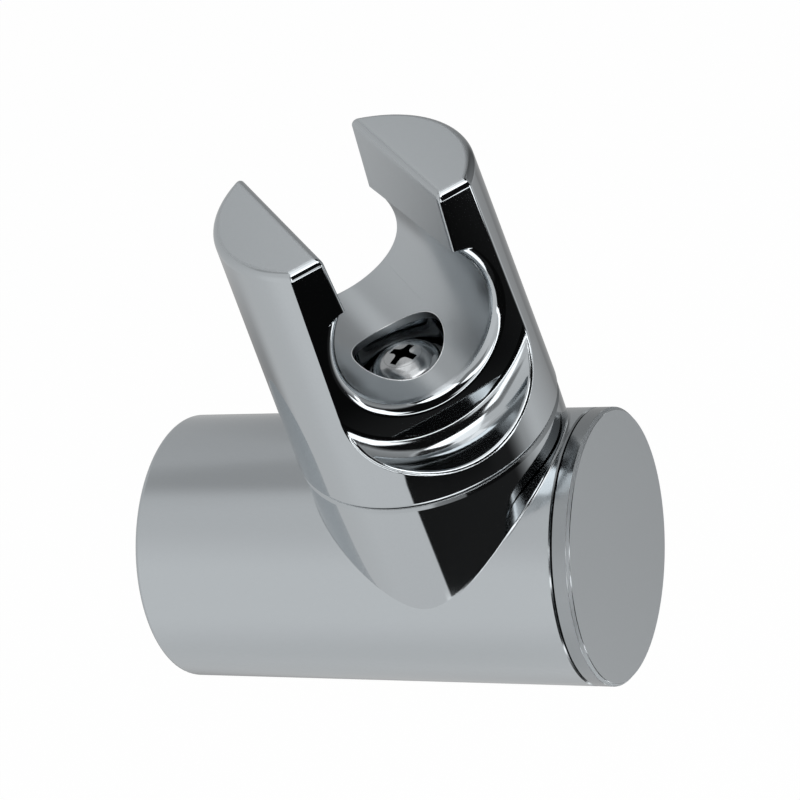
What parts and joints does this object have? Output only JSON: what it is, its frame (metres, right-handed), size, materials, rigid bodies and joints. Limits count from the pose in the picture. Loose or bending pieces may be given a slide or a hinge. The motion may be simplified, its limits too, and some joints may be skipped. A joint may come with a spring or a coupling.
{
  "type": "hand shower holder",
  "caption": "Wall bracket for a hand shower: a round body with a capped front and a slotted swivelling fork with a tapered seat for the hose nut.",
  "frame": {"origin": "centre of the body's wall face, on the body's axis", "axes": "+Y points into the wall, the body stands out along -Y, and +Z runs along the neck's axis, about which the fork turns; at rest the seat's wide mouth faces halfway between -X and -Y"},
  "size_m": [0.038, 0.0653, 0.0805],
  "materials": {
    "chrome_plate": "polished chrome plate on a metal casting",
    "screw_steel": "zinc-plated steel, slightly dull",
    "spring_steel": "dark spring steel",
    "black_plastic": "smooth black bearing plastic",
    "insert_nylon": "natural white nylon",
    "seal_rubber": "soft black rubber"
  },
  "bodies": {
    "bracket": {"body": "chrome_plate", "slide_ring": "black_plastic", "swivel_screw": "screw_steel", "head_washer": "screw_steel", "upper_disc_spring": "spring_steel", "lower_disc_spring": "spring_steel", "nut_washer": "screw_steel", "lock_nut": "screw_steel", "nut_insert": "insert_nylon", "end_cap": "chrome_plate", "cap_seal": "seal_rubber"},
    "swivel_fork": {"fork": "chrome_plate", "pivot_bush": "black_plastic"}
  },
  "joints": [
    {"name": "fork_swivel", "type": "hinge", "parent": "bracket", "child": "swivel_fork", "pos_m": [0, -0.0438, 0.0238], "axis": [0, 0, 1], "continuous": true}
  ]
}
